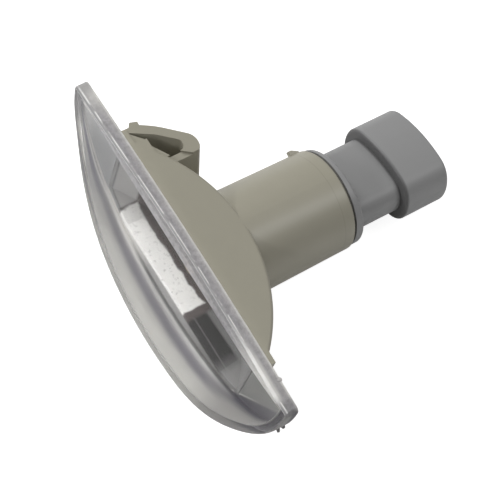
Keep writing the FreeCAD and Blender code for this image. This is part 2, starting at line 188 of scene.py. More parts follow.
def inward_normals(ring: np.ndarray) -> np.ndarray:
    """Unit normals pointing into a closed outline that runs clockwise seen along +Y."""
    along = np.roll(ring, -1, axis=0) - np.roll(ring, 1, axis=0)
    along /= np.linalg.norm(along, axis=1)[:, None]
    normal = np.stack([along[:, 1], -along[:, 0]], 1)
    middle = ring.mean(axis=0)
    if np.sum((middle - ring) * normal) < 0:
        normal = -normal
    return normal


@dataclass
class ClearLens:
    """Fine mesh of the clear cover: skirt, rounded front edge, crowned front, ledge and hollow."""

    form: LensForm = field(default_factory=LensForm)
    side: int = 170
    tip: int = 10
    rows: int = 26
    name: str = "clear_lens"
    burrs: tuple = ((0.0469, -0.0009, -0.0006, 0.0018, 0.5), (0.0478, 0.0022, -0.0006, 0.0009, -0.5),
                    (0.0398, 0.0160, -0.0003, 0.0011, 0.5))
    band: object = None

    def edge_rings(self, base: np.ndarray, start_y: float, shift: float, radius: float,
                   levels: int, steps: int) -> list[np.ndarray]:
        """Rings from a straight wall round its front edge on to the crowned front.

        Args:
            base: outline at y = 0.
            start_y: where the wall starts.
            shift: how far this front lies behind the outer one.
            radius: radius of the rounded edge.
            levels: rings up the wall.
            steps: rings round the edge.

        Returns:
            Rings of places (x, y, z) from the wall to the front.
        """
        form = self.form
        inward = inward_normals(base)
        s_c = np.full(len(base), radius)
        for _ in range(8):
            spot = base + inward * s_c[:, None]
            ahead = base + inward * (s_c + 0.01)[:, None]
            level = form.front_y(spot[:, 0], spot[:, 1]) + shift
            slope = (form.front_y(ahead[:, 0], ahead[:, 1]) + shift - level) / 0.01
            y_c = level + radius * np.sqrt(1 + slope ** 2)
            s_c = -form.draft * y_c + radius * math.sqrt(1 + form.draft ** 2)
        from_angle = np.full(len(base), math.pi + math.atan(form.draft))
        to_angle = np.arctan2(-1.0, slope) + 2 * math.pi
        rings = []
        wall_end = y_c - radius * math.sin(math.atan(form.draft))
        for k in range(levels):
            y = start_y + (wall_end - start_y) * k / levels
            place = base + inward * (-form.draft * y)[:, None]
            rings.append(np.stack([place[:, 0], y, place[:, 1]], 1))
        for k in range(steps + 1):
            angle = from_angle + (to_angle - from_angle) * k / steps
            s = s_c + radius * np.cos(angle)
            y = y_c + radius * np.sin(angle)
            place = base + inward * s[:, None]
            rings.append(np.stack([place[:, 0], y, place[:, 1]], 1))
        return rings

    def build(self) -> bpy.types.Object:
        """Makes the cover as one closed shell.

        Returns:
            The mesh object, standing for the lens of the construction.
        """
        form = self.form
        outer = form.ring(0.0, self.side, self.tip)
        seat = form.ring(form.wall, self.side, self.tip)
        hollow = form.ring(form.wall + form.ledge_width, self.side, self.tip)
        zeros = np.zeros(len(outer))

        def flat(ring, inset, y):
            place = ring + inward_normals(ring) * inset
            return np.stack([place[:, 0], zeros + y, place[:, 1]], 1)

        rings = [flat(outer, 0.12, 0.0), flat(outer, 0.04, -0.03)]
        rings += self.edge_rings(outer, -0.12, 0.0, form.edge_radius, 6, 8)
        back = [flat(seat, -0.1, 0.0), flat(seat, 0.0, -0.08), flat(seat, 0.0, -form.ledge_depth)]
        inner = self.edge_rings(hollow, -form.ledge_depth, form.front, form.inner_edge_radius, 6, 5)
        mesh = bmesh.new()
        self.band = mesh.verts.layers.float.new("band")
        outer_rows = [self._verts(mesh, ring, rings[-1]) for ring in rings]
        inner_rows = [self._verts(mesh, ring, inner[-1]) for ring in back + inner]
        walls = 8
        self._bridge(mesh, outer_rows[:walls + 1], 1)
        self._bridge(mesh, outer_rows[walls:], 1)
        self._light_edge(outer_rows[walls:])
        self._bridge(mesh, inner_rows, 1)
        self._bridge(mesh, [outer_rows[0], inner_rows[0]], 1)
        self._crown(mesh, outer_rows[-1], 0.0, 0)
        self._crown(mesh, inner_rows[-1], form.front, 1)
        for burr in self.burrs:
            self._burr(mesh, outer, *burr)
        bmesh.ops.recalc_face_normals(mesh, faces=mesh.faces)
        data = bpy.data.meshes.new(self.name)
        mesh.to_mesh(data)
        mesh.free()
        for face in data.polygons:
            face.use_smooth = True
        lens = bpy.data.objects.new(self.name, data)
        bpy.context.scene.collection.objects.link(lens)
        return lens

    def _verts(self, mesh: bmesh.types.BMesh, ring: np.ndarray, front: np.ndarray) -> list:
        """Adds the places of a ring, each marked with its share of the height of the wall."""
        verts = []
        for place, end in zip(ring, front):
            vert = mesh.verts.new(place * MM)
            foot = -self.form.ledge_depth
            vert[self.band] = min(max((place[1] - foot) / (end[1] - foot), 0.0), 1.0)
            verts.append(vert)
        return verts

    @staticmethod
    def _bridge(mesh: bmesh.types.BMesh, rows: list, finish: int) -> None:
        """Joins neighbouring rings of the same count by quads with one finish."""
        for near, far in zip(rows, rows[1:]):
            count = len(near)
            for i in range(count):
                j = (i + 1) % count
                mesh.faces.new((near[i], near[j], far[j], far[i])).material_index = finish

    def _burr(self, mesh: bmesh.types.BMesh, ring: np.ndarray, x: float, z: float, y: float,
              height: float, lean: float) -> None:
        """Adds a small torn flake of plastic that stands out from the rim.

        Args:
            mesh: the mesh to add to.
            ring: the outer outline at the back plane.
            x, z: place near the outline, in metres.
            y: its place along the depth, in metres.
            height: how far it stands out, in metres.
            lean: how much it leans along the outline.
        """
        spot = int(np.argmin(np.linalg.norm(ring * MM - (x, z), axis=1)))
        inward = inward_normals(ring)[spot]
        out = Vector((-inward[0], 0.0, -inward[1]))
        along = Vector((0.0, 1.0, 0.0)).cross(out)
        way = (out + along * lean).normalized()
        foot = Vector((ring[spot][0] * MM, y, ring[spot][1] * MM)) - out * 0.0003
        turn = way.to_track_quat("Z", "Y").to_matrix().to_4x4()
        middle = foot + way * (height / 2)
        made = bmesh.ops.create_cone(mesh, cap_ends=True, segments=5, radius1=0.0007,
                                     radius2=0.00045, depth=height,
                                     matrix=Matrix.Translation(middle) @ turn)
        for vert in made["verts"]:
            vert[self.band] = 0.3
            for face in vert.link_faces:
                face.material_index = 1

    def _light_edge(self, rows: list) -> None:
        """Gives the rounded edge along the straight side its own finish.

        The band value runs from 3 at the wall to 4 at the front. This finish paints highlights on the edge.
        """
        along = range(1, self.side + self.tip - 1)
        for k, row in enumerate(rows):
            for i in along:
                row[i][self.band] = 3.0 + k / (len(rows) - 1)
        for near, far in zip(rows, rows[1:]):
            for i in along[:-1]:
                for face in near[i].link_faces:
                    if near[i + 1] in face.verts and far[i] in face.verts:
                        face.material_index = 2

    def _crown(self, mesh: bmesh.types.BMesh, ring: list, shift: float, hazy: int) -> None:
        """Fills a ring with rows of quads laid on the crowned front.

        Args:
            mesh: the mesh to add to.
            ring: verts round the front.
            shift: how far this front lies behind the outer one.
            hazy: rows along the straight edge that take the finish of the walls.
        """
        half = len(ring) // 2
        upper = ring[:half + 1]
        lower = [ring[0]] + ring[:half - 1:-1]
        columns = []
        for top, low in zip(upper, lower):
            if top is low:
                columns.append([top] * (self.rows + 1))
                continue
            column = [top]
            for k in range(1, self.rows):
                x = (top.co.x + (low.co.x - top.co.x) * k / self.rows) / MM
                z = (top.co.z + (low.co.z - top.co.z) * k / self.rows) / MM
                y = float(self.form.front_y(np.array(x), np.array(z))) + shift
                vert = mesh.verts.new((x * MM, y * MM, z * MM))
                vert[self.band] = 2.0 if k <= hazy else 1.0
                column.append(vert)
            columns.append(column + [low])
        for left, right in zip(columns, columns[1:]):
            for k in range(self.rows):
                corners = [left[k], left[k + 1], right[k + 1], right[k]]
                different = list(dict.fromkeys(corners))
                if len(different) > 2:
                    mesh.faces.new(different).material_index = int(k < hazy)


# Finishes


class Nodes:
    """Small helper that adds and joins shader nodes in one tree."""

    def __init__(self, tree: bpy.types.NodeTree) -> None:
        self.tree = tree

    def add(self, kind: str, **values) -> bpy.types.Node:
        """Adds a node and sets its properties, or its inputs when the name is an input."""
        node = self.tree.nodes.new(kind)
        for key, value in values.items():
            if hasattr(node, key):
                setattr(node, key, value)
            else:
                node.inputs[key].default_value = value
        return node

    def join(self, source: bpy.types.NodeSocket, target: bpy.types.NodeSocket) -> None:
        """Joins one output to one input."""
        self.tree.links.new(source, target)

    def maths(self, operation: str, *values) -> bpy.types.NodeSocket:
        """Adds a sum of sockets and plain numbers and gives back its result."""
        node = self.tree.nodes.new("ShaderNodeMath")
        node.operation = operation
        for slot, value in zip(node.inputs, values):
            if isinstance(value, (int, float)):
                slot.default_value = value
            else:
                self.join(value, slot)
        return node.outputs[0]


def new_group(name: str, inputs: dict, outputs: dict) -> tuple[bpy.types.NodeTree, Nodes]:
    """Starts a shader node group with named sockets.

    Args:
        name: name of the group.
        inputs: socket name to (socket type, default).
        outputs: socket name to socket type.

    Returns:
        The group and a helper for its nodes.
    """
    group = bpy.data.node_groups.new(name, "ShaderNodeTree")
    for key, (kind, default) in inputs.items():
        socket = group.interface.new_socket(key, in_out="INPUT", socket_type=kind)
        if default is not None:
            socket.default_value = default
    for key, kind in outputs.items():
        group.interface.new_socket(key, in_out="OUTPUT", socket_type=kind)
    return group, Nodes(group)


def grain_group() -> bpy.types.NodeTree:
    """Fine moulded grain and soft mottling: gives a height normal and a tone factor."""
    group, kit = new_group(
        "moulded_grain",
        {"Grain": ("NodeSocketFloat", 0.2), "Scale": ("NodeSocketFloat", 3000.0),
         "Mottle": ("NodeSocketFloat", 0.04)},
        {"Normal": "NodeSocketVector", "Tone": "NodeSocketFloat"})
    entry = kit.add("NodeGroupInput")
    leave = kit.add("NodeGroupOutput")
    place = kit.add("ShaderNodeTexCoord")
    fine = kit.add("ShaderNodeTexNoise", Detail=3.0, Roughness=0.6)
    kit.join(place.outputs["Object"], fine.inputs["Vector"])
    kit.join(entry.outputs["Scale"], fine.inputs["Scale"])
    bump = kit.add("ShaderNodeBump", Distance=0.00004)
    kit.join(fine.outputs["Fac"], bump.inputs["Height"])
    kit.join(entry.outputs["Grain"], bump.inputs["Strength"])
    cloud = kit.add("ShaderNodeTexNoise", Scale=180.0, Detail=5.0, Roughness=0.65)
    kit.join(place.outputs["Object"], cloud.inputs["Vector"])
    spread = kit.maths("SUBTRACT", cloud.outputs["Fac"], 0.5)
    tone = kit.maths("MULTIPLY_ADD", spread, entry.outputs["Mottle"], 1.0)
    kit.join(bump.outputs["Normal"], leave.inputs["Normal"])
    kit.join(tone, leave.inputs["Tone"])
    return group


@dataclass(frozen=True)
class MouldedPlastic:
    """Opaque satin plastic with a fine moulded grain.

    Painted shade bands darken the colour across the piece where shade falls: axis, start, end, soft width
    and the share that the colour loses, in metres in the frame of the part.
    """

    name: str
    colour: tuple
    roughness: float
    grain: float = 0.2
    scale: float = 3000.0
    mottle: float = 0.05
    specular: float = 0.4
    painted_shade_bands: tuple = ()

    def material(self, grain: bpy.types.NodeTree) -> bpy.types.Material:
        """Makes the material."""
        made = bpy.data.materials.new(self.name)
        made.use_nodes = True
        kit = Nodes(made.node_tree)
        shader = made.node_tree.nodes["Principled BSDF"]
        surface = kit.add("ShaderNodeGroup", node_tree=grain)
        surface.inputs["Grain"].default_value = self.grain
        surface.inputs["Scale"].default_value = self.scale
        surface.inputs["Mottle"].default_value = self.mottle
        tone = surface.outputs["Tone"]
        place = kit.add("ShaderNodeTexCoord")
        parts = kit.add("ShaderNodeSeparateXYZ")
        kit.join(place.outputs["Object"], parts.inputs[0])
        # Each band is painted shade: the colour is darkened where shade falls on the piece.
        for axis, start, end, soft, loss in self.painted_shade_bands:
            band = kit.maths("MULTIPLY", soft_step(kit, parts.outputs[axis], start, soft),
                             soft_step(kit, parts.outputs[axis], end, -soft))
            tone = kit.maths("MULTIPLY", tone, kit.maths("MULTIPLY_ADD", band, -loss, 1.0))
        tint = kit.add("ShaderNodeVectorMath", operation="SCALE")
        tint.inputs[0].default_value = self.colour
        kit.join(tone, tint.inputs["Scale"])
        kit.join(tint.outputs[0], shader.inputs["Base Color"])
        kit.join(surface.outputs["Normal"], shader.inputs["Normal"])
        shader.inputs["Roughness"].default_value = self.roughness
        shader.inputs["Specular IOR Level"].default_value = self.specular
        return made


@dataclass(frozen=True)
class BareMetal:
    """Plain metal: drawn wire, tinned sheet or a metallised coat."""

    name: str
    colour: tuple
    roughness: float

    def material(self, grain: bpy.types.NodeTree) -> bpy.types.Material:
        """Makes the material."""
        made = bpy.data.materials.new(self.name)
        made.use_nodes = True
        kit = Nodes(made.node_tree)
        shader = made.node_tree.nodes["Principled BSDF"]
        surface = kit.add("ShaderNodeGroup", node_tree=grain)
        surface.inputs["Grain"].default_value = 0.05
        surface.inputs["Mottle"].default_value = 0.1
        tint = kit.add("ShaderNodeVectorMath", operation="SCALE")
        tint.inputs[0].default_value = self.colour
        kit.join(surface.outputs["Tone"], tint.inputs["Scale"])
        kit.join(tint.outputs[0], shader.inputs["Base Color"])
        kit.join(surface.outputs["Normal"], shader.inputs["Normal"])
        shader.inputs["Metallic"].default_value = 1.0
        shader.inputs["Roughness"].default_value = self.roughness
        return made


@dataclass(frozen=True)
class ClearPlastic:
    """Clear polished moulding or coated glass."""

    name: str
    colour: tuple
    roughness: float
    ior: float = 1.49
    grain: float = 0.1

    def material(self, grain: bpy.types.NodeTree) -> bpy.types.Material:
        """Makes the material."""
        made = bpy.data.materials.new(self.name)
        made.use_nodes = True
        kit = Nodes(made.node_tree)
        shader = made.node_tree.nodes["Principled BSDF"]
        surface = kit.add("ShaderNodeGroup", node_tree=grain)
        surface.inputs["Grain"].default_value = self.grain
        shader.inputs["Base Color"].default_value = (*self.colour, 1.0)
        shader.inputs["Transmission Weight"].default_value = 1.0
        shader.inputs["IOR"].default_value = self.ior
        shader.inputs["Roughness"].default_value = self.roughness
        shader.inputs["Specular IOR Level"].default_value = 0.3
        kit.join(surface.outputs["Normal"], shader.inputs["Normal"])
        return made


def colour_ramp(kit: Nodes, value: bpy.types.NodeSocket, stops: tuple) -> bpy.types.NodeSocket:
    """Adds a colour ramp over a value from pairs of position and colour."""
    ramp = kit.add("ShaderNodeValToRGB")
    kit.join(value, ramp.inputs[0])
    elements = ramp.color_ramp.elements
    for index, (where, colour) in enumerate(stops):
        stop = elements[index] if index < 2 else elements.new(where)
        stop.position = where
        stop.color = (*colour, 1.0)
    return ramp.outputs["Color"]


def blend(kit: Nodes, share: bpy.types.NodeSocket, first, second) -> bpy.types.NodeSocket:
    """Adds a blend of two colours, each a socket or three numbers."""
    mix = kit.add("ShaderNodeMix", data_type="RGBA")
    kit.join(share, mix.inputs[0])
    for slot, colour in ((mix.inputs[6], first), (mix.inputs[7], second)):
        if isinstance(colour, tuple):
            slot.default_value = (*colour, 1.0)
        else:
            kit.join(colour, slot)
    return mix.outputs[2]


def soft_step(kit: Nodes, value: bpy.types.NodeSocket, limit: float,
              width: float) -> bpy.types.NodeSocket:
    """Rises from 0 to 1 over a width round a limit; a negative width makes it fall."""
    away = kit.maths("MULTIPLY_ADD", value, 1.0 / width, 0.5 - limit / width)
    return kit.maths("MINIMUM", kit.maths("MAXIMUM", away, 0.0), 1.0)


@dataclass(frozen=True)
class FrostedWall:
    """Walls of the clear cover: hazy and speckled, with a dark band above their foot.

    Stops are pairs of the share of the wall height and a colour. The pale colour is painted highlight on
    the upper near wall towards the broad end and on the near wall at the narrow tip; the shade colour is
    painted shade on the far wall at the narrow tip.
    """

    name: str
    stops: tuple
    near: tuple = (0.42, 0.41, 0.42)
    pale: tuple = (0.78, 0.77, 0.74)
    shade: tuple = (0.13, 0.125, 0.14)
    deep: tuple = (0.045, 0.04, 0.056)
    beige: tuple = (0.31, 0.30, 0.285)
    blue: tuple = (0.06, 0.055, 0.115)
    near_z: float = 0.0122
    clearness: float = 0.5
    roughness: float = 0.4
    speckle: float = 1.6

    def material(self, grain: bpy.types.NodeTree) -> bpy.types.Material:
        """Makes the material."""
        made = bpy.data.materials.new(self.name)
        made.use_nodes = True
        kit = Nodes(made.node_tree)
        shader = made.node_tree.nodes["Principled BSDF"]
        band = kit.add("ShaderNodeAttribute", attribute_name="band")
        place = kit.add("ShaderNodeTexCoord")
        parts = kit.add("ShaderNodeSeparateXYZ")
        kit.join(place.outputs["Object"], parts.inputs[0])
        x, y, z = (parts.outputs[k] for k in "XYZ")
        share = band.outputs["Fac"]
        narrow = soft_step(kit, x, -0.034, -0.008)
        far = colour_ramp(kit, kit.maths("MULTIPLY_ADD", narrow, -0.12, share), self.stops)
        ends = kit.maths("ABSOLUTE", kit.maths("ADD", x, 0.0018))
        level = kit.maths("MULTIPLY_ADD", soft_step(kit, ends, 0.0465, 0.002), -0.0026, z)
        upper = soft_step(kit, level, self.near_z, 0.0008)
        # Painted highlight: the upper near wall towards the broad end is turned pale.
        lit = kit.maths("MULTIPLY", soft_step(kit, x, 0.029, 0.012), soft_step(kit, x, 0.0445, -0.003))
        lit = kit.maths("MULTIPLY", lit, soft_step(kit, share, 0.35, 0.3))
        rim = soft_step(kit, y, -0.0005, 0.0003)
        # Painted highlight: the near wall at the narrow tip is turned pale.
        tip = soft_step(kit, x, -0.044, -0.008)
        broad = soft_step(kit, x, 0.028, 0.012)
        foot = soft_step(kit, share, 0.28, -0.3)
        speck = kit.add("ShaderNodeTexNoise", Scale=900.0, Detail=4.0, Roughness=0.75)
        kit.join(place.outputs["Object"], speck.inputs["Vector"])
        grey = kit.maths("MULTIPLY_ADD", speck.outputs["Fac"], self.speckle, 1 - self.speckle / 2)
        spotted = kit.add("ShaderNodeVectorMath", operation="SCALE")
        spotted.inputs[0].default_value = self.near
        kit.join(grey, spotted.inputs["Scale"])
        surface = kit.add("ShaderNodeGroup", node_tree=grain)
        surface.inputs["Grain"].default_value = 0.6
        surface.inputs["Scale"].default_value = 2200.0
        surface.inputs["Mottle"].default_value = 0.3
        tint = kit.add("ShaderNodeVectorMath", operation="SCALE")
        near = blend(kit, kit.maths("MULTIPLY", tip, 0.6), spotted.outputs[0], self.pale)
        near = blend(kit, kit.maths("MAXIMUM", lit, kit.maths("MULTIPLY", rim, 0.7)), near, self.pale)
        blue = kit.maths("MULTIPLY", soft_step(kit, share, 0.36, 0.12), soft_step(kit, share, 0.62, -0.12))
        far = blend(kit, kit.maths("MULTIPLY", kit.maths("MULTIPLY", narrow, blue), 0.8), far, self.blue)
        margin = kit.maths("MULTIPLY", soft_step(kit, share, 0.12, -0.04), soft_step(kit, x, -0.014, -0.01))
        far = blend(kit, margin, far, self.pale)
        far = blend(kit, broad, far, blend(kit, foot, self.beige, self.deep))
        # Painted shade: the far wall at the narrow tip is darkened.
        dark = soft_step(kit, x, -0.0475, -0.003)
        far = blend(kit, kit.maths("MULTIPLY", dark, 0.75), far, self.shade)
        kit.join(blend(kit, upper, far, near), tint.inputs[0])
        kit.join(surface.outputs["Tone"], tint.inputs["Scale"])
        kit.join(tint.outputs[0], shader.inputs["Base Color"])
        kit.join(surface.outputs["Normal"], shader.inputs["Normal"])
        shader.inputs["Transmission Weight"].default_value = self.clearness
        shader.inputs["IOR"].default_value = 1.49
        shader.inputs["Roughness"].default_value = self.roughness
        return made


@dataclass(frozen=True)
class LitEdge:
    """Rounded front edge along the straight side: hazy, with a broken pale line on both borders.

    The broken pale lines are painted highlights, and from lit_x on the whole edge takes a painted
    highlight. The band attribute runs from 3 at the wall to 4 at the front. Sizes are in metres in the
    frame of the part.
    """

    name: str
    pale: tuple = (0.95, 0.94, 0.92)
    haze: tuple = (0.34, 0.335, 0.34)
    lit_x: tuple = (0.027, 0.0445)
    clearness: float = 0.25
    roughness: float = 0.35

    def material(self, grain: bpy.types.NodeTree) -> bpy.types.Material:
        """Makes the material."""
        made = bpy.data.materials.new(self.name)
        made.use_nodes = True
        kit = Nodes(made.node_tree)
        shader = made.node_tree.nodes["Principled BSDF"]
        band = kit.add("ShaderNodeAttribute", attribute_name="band")
        over = kit.maths("SUBTRACT", band.outputs["Fac"], 3.0)
        place = kit.add("ShaderNodeTexCoord")
        parts = kit.add("ShaderNodeSeparateXYZ")
        kit.join(place.outputs["Object"], parts.inputs[0])
        broken = kit.add("ShaderNodeTexNoise", Scale=260.0, Detail=2.0, Roughness=0.5)
        kit.join(place.outputs["Object"], broken.inputs["Vector"])
        whole = soft_step(kit, broken.outputs["Fac"], 0.44, 0.12)
        # Painted highlights: broken pale lines along both borders of the edge.
        low = kit.maths("MULTIPLY", soft_step(kit, over, 0.3, -0.2), whole)
        high = kit.maths("MULTIPLY", soft_step(kit, over, 0.84, 0.1), 0.6)
        # Painted highlight over the whole edge between the two lit_x places.
        lit = kit.maths("MULTIPLY", soft_step(kit, parts.outputs["X"], self.lit_x[0], 0.012),
                        soft_step(kit, parts.outputs["X"], self.lit_x[1], -0.003))
        share = kit.maths("MAXIMUM", kit.maths("MAXIMUM", low, high), lit)
        surface = kit.add("ShaderNodeGroup", node_tree=grain)
        surface.inputs["Grain"].default_value = 0.5
        surface.inputs["Mottle"].default_value = 0.3
        tint = kit.add("ShaderNodeVectorMath", operation="SCALE")
        kit.join(blend(kit, share, self.haze, self.pale), tint.inputs[0])
        kit.join(surface.outputs["Tone"], tint.inputs["Scale"])
        kit.join(tint.outputs[0], shader.inputs["Base Color"])
        kit.join(surface.outputs["Normal"], shader.inputs["Normal"])
        shader.inputs["Transmission Weight"].default_value = self.clearness
        shader.inputs["IOR"].default_value = 1.49
        shader.inputs["Roughness"].default_value = self.roughness
        return made


@dataclass(frozen=True)
class HousingPlastic:
    """Warm grey moulding with a mould line round the tube and the weld zone on the plate front.

    The weld zone is seen through the lens: it is greyer, with a painted highlight along the crease and a
    violet-grey band across its broad end. Sizes are in metres in the frame of the part.
    """

    name: str
    colour: tuple
    plate: tuple = (0.34, 0.335, 0.33)
    dusk: tuple = (0.15, 0.15, 0.14)
    dull: tuple = (0.22, 0.22, 0.22)
    violet: tuple = (0.05, 0.045, 0.058)
    pale: tuple = (0.60, 0.59, 0.56)
    roughness: float = 0.37
    plate_y: float = -0.001
    crease_at: tuple = (0.0284, -0.0132)
    crease_way: tuple = (0.584, 0.812)
    ring_y: float = 0.0412

    def material(self, grain: bpy.types.NodeTree) -> bpy.types.Material:
        """Makes the material."""
        made = bpy.data.materials.new(self.name)
        made.use_nodes = True
        kit = Nodes(made.node_tree)
        shader = made.node_tree.nodes["Principled BSDF"]
        place = kit.add("ShaderNodeTexCoord")
        parts = kit.add("ShaderNodeSeparateXYZ")
        kit.join(place.outputs["Object"], parts.inputs[0])
        x, y, z = (parts.outputs[k] for k in "XYZ")
        front = soft_step(kit, y, self.plate_y, -0.0002)
        way_x, way_z = self.crease_way
        start_x, start_z = self.crease_at
        out = kit.maths("ADD", kit.maths("MULTIPLY_ADD", x, way_z, -start_x * way_z),
                        kit.maths("MULTIPLY_ADD", z, -way_x, start_z * way_x))
        outside = soft_step(kit, out, 0.0016, 0.0006)
        # Painted highlight: a thin pale line along the crease, fading out towards the broad end.
        crease = kit.maths("MULTIPLY", soft_step(kit, out, 0.0010, 0.0002),
                           soft_step(kit, out, 0.0014, -0.0002))
        crease = kit.maths("MULTIPLY", crease, soft_step(kit, x, 0.037, -0.006))
        dim = soft_step(kit, x, 0.010, 0.016)
        face = blend(kit, dim, self.plate, self.dusk)
        dull = kit.maths("MULTIPLY", soft_step(kit, x, -0.030, -0.006), soft_step(kit, x, -0.044, 0.004))
        face = blend(kit, dull, face, self.dull)
        margin = kit.maths("MULTIPLY", soft_step(kit, z, -0.0085, -0.001), soft_step(kit, x, -0.014, -0.01))
        face = blend(kit, margin, face, self.pale)
        face = blend(kit, outside, face, self.violet)
        face = blend(kit, kit.maths("MULTIPLY", crease, 0.7), face, self.pale)
        surface = kit.add("ShaderNodeGroup", node_tree=grain)
        surface.inputs["Grain"].default_value = 0.2
        surface.inputs["Mottle"].default_value = 0.06
        ring = kit.maths("MULTIPLY", soft_step(kit, y, self.ring_y, 0.0001),
                         soft_step(kit, y, self.ring_y + 0.00025, -0.0001))
        tone = kit.maths("MULTIPLY", surface.outputs["Tone"], kit.maths("MULTIPLY_ADD", ring, -0.1, 1.0))
        tint = kit.add("ShaderNodeVectorMath", operation="SCALE")
        kit.join(blend(kit, front, self.colour, face), tint.inputs[0])
        kit.join(tone, tint.inputs["Scale"])
        kit.join(tint.outputs[0], shader.inputs["Base Color"])
        kit.join(surface.outputs["Normal"], shader.inputs["Normal"])
        shader.inputs["Roughness"].default_value = self.roughness
        shader.inputs["Specular IOR Level"].default_value = 0.5
        return made


@dataclass(frozen=True)
class LinerPatch:
    """Bright patch with ragged edges on the lower wall of the liner, darker and brown towards its edges.

    Sizes are in metres in the frame of the part.
    """

    name: str
    bright: tuple
    dull: tuple
    brown: tuple = (0.105, 0.088, 0.083)
    grey: tuple = (0.19, 0.187, 0.183)
    deep_y: float = 0.0040
    hazy: tuple = (0.46, 0.45, 0.44)
    ends_x: tuple = (-0.0255, 0.0072)
    edge_y: float = 0.0049
    top_z: float = -0.0085
    soft: float = 0.0005

    def material(self, grain: bpy.types.NodeTree) -> bpy.types.Material:
        """Makes the material."""
        made = bpy.data.materials.new(self.name)
        made.use_nodes = True
        kit = Nodes(made.node_tree)
        shader = made.node_tree.nodes["Principled BSDF"]
        place = kit.add("ShaderNodeTexCoord")
        parts = kit.add("ShaderNodeSeparateXYZ")
        kit.join(place.outputs["Object"], parts.inputs[0])
        ragged = kit.add("ShaderNodeTexNoise", Scale=130.0, Detail=5.0, Roughness=0.6)
        kit.join(place.outputs["Object"], ragged.inputs["Vector"])
        spread = kit.maths("MULTIPLY_ADD", ragged.outputs["Fac"], 0.003, -0.0015)
        along = kit.maths("ADD", parts.outputs["X"], spread)
        mask = soft_step(kit, along, self.ends_x[0], self.soft)
        edge = kit.maths("ADD", parts.outputs["Y"],
                         kit.maths("MULTIPLY_ADD", parts.outputs["X"], -0.035, 0.035 * self.ends_x[1]))
        for value, limit in ((along, self.ends_x[1]), (parts.outputs["Z"], self.top_z),
                             (kit.maths("ADD", edge, kit.maths("MULTIPLY", spread, 1.3)), self.edge_y)):
            mask = kit.maths("MULTIPLY", mask, soft_step(kit, value, limit, -self.soft))
        surface = kit.add("ShaderNodeGroup", node_tree=grain)
        surface.inputs["Grain"].default_value = 0.05
        surface.inputs["Mottle"].default_value = 0.2
        tint = kit.add("ShaderNodeVectorMath", operation="SCALE")
        dots = kit.add("ShaderNodeTexNoise", Scale=1500.0, Detail=2.0, Roughness=0.5)
        kit.join(place.outputs["Object"], dots.inputs["Vector"])
        dotted = blend(kit, kit.maths("MULTIPLY", soft_step(kit, dots.outputs["Fac"], 0.64, 0.06), 0.3),
                       self.bright, self.brown)
        past = soft_step(kit, parts.outputs["X"], self.ends_x[1] + 0.0025, 0.001)
        before = soft_step(kit, parts.outputs["X"], self.ends_x[0] - 0.0004, -0.0006)
        deep = blend(kit, soft_step(kit, edge, self.deep_y, 0.0006), self.dull, self.grey)
        deep = blend(kit, soft_step(kit, parts.outputs["X"], 0.0245, 0.005), deep, self.grey)
        face = blend(kit, soft_step(kit, parts.outputs["Y"], -0.0009, 0.0003), self.grey, self.hazy)
        rest = blend(kit, before, blend(kit, past, self.brown, deep), face)
        thread = kit.maths("SUBTRACT", parts.outputs["Y"], 0.0004)
        thread = kit.maths("MULTIPLY", soft_step(kit, thread, -0.0001, 0.0001),
                           soft_step(kit, thread, 0.0001, -0.0001))
        rest = blend(kit, kit.maths("MULTIPLY", thread, past), rest, self.grey)
        kit.join(blend(kit, mask, rest, dotted), tint.inputs[0])
        kit.join(surface.outputs["Tone"], tint.inputs["Scale"])
        kit.join(tint.outputs[0], shader.inputs["Base Color"])
        kit.join(surface.outputs["Normal"], shader.inputs["Normal"])
        shader.inputs["Roughness"].default_value = 0.8
        shader.inputs["Specular IOR Level"].default_value = 0.05
        return made


# Studio


@dataclass(frozen=True)
class SoftLight:
    """Rectangular studio light that faces the lamp."""

    name: str
    towards: tuple
    distance: float
    width: float
    height: float
    power: float

    def place(self) -> bpy.types.Object:
        """Adds the light."""
        data = bpy.data.lights.new(self.name, "AREA")
        data.shape = "RECTANGLE"
        data.size = self.width
        data.size_y = self.height
        data.energy = self.power
        light = bpy.data.objects.new(self.name, data)
        way = Vector(self.towards).normalized()
        light.location = way * self.distance + Vector((0, 0.03, 0))
        light.rotation_mode = "QUATERNION"
        light.rotation_quaternion = way.to_track_quat("Z", "Y")
        bpy.context.scene.collection.objects.link(light)
        return light


@dataclass(frozen=True)
class PhotoCamera:
    """The camera as fitted to the photo."""

    place: tuple = (0.10824, -0.14113, 0.36124)
    right: tuple = (0.52865, 0.82229, 0.21064)
    up: tuple = (-0.80904, 0.41301, 0.41818)
    back: tuple = (0.25687, -0.39149, 0.88360)
    lens: float = 113.76

    def add(self) -> bpy.types.Object:
        """Adds the camera and makes it the scene's camera."""
        data = bpy.data.cameras.new("photo_camera")
        data.lens = self.lens
        data.sensor_width = 36.0
        data.clip_start = 0.01
        data.clip_end = 10.0
        camera = bpy.data.objects.new("photo_camera", data)
        turn = Matrix((self.right, self.up, self.back)).transposed()
        camera.matrix_world = Matrix.Translation(self.place) @ turn.to_4x4()
        bpy.context.scene.collection.objects.link(camera)
        bpy.context.scene.camera = camera
        return camera


